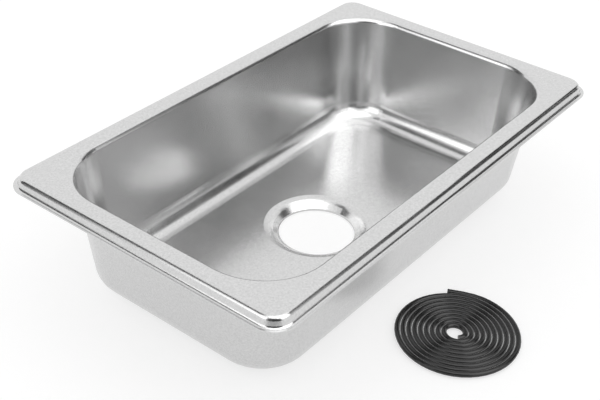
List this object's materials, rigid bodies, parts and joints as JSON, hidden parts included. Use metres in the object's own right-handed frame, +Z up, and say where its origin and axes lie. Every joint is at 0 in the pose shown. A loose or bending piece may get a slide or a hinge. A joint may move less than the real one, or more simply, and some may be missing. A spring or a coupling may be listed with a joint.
{
  "type": "stainless steel sink",
  "caption": "Shallow rectangular drop-in sink drawn from stainless steel sheet, with a skirted rim, tapered basin and dished drain hole, and a loose coil of round rubber sealing strip.",
  "frame": {"origin": "under the middle of the drain hole, on the surface that the sink stands on", "axes": "+X along the sink's long side, +Y across it, away from the side that the sealing strip lies on, +Z up"},
  "size_m": [0.265, 0.2104, 0.066],
  "materials": {
    "steel": "satin",
    "rubber": "matt, extruded"
  },
  "bodies": {
    "sink": {"sink_bowl": "steel"},
    "strip_coil": {"sealing_strip": "rubber"}
  },
  "joints": [
    {"name": "strip_draw", "type": "slide", "parent": "sink", "child": "strip_coil", "axis": [0, -1, 0], "range_m": [0, 0.08]}
  ]
}
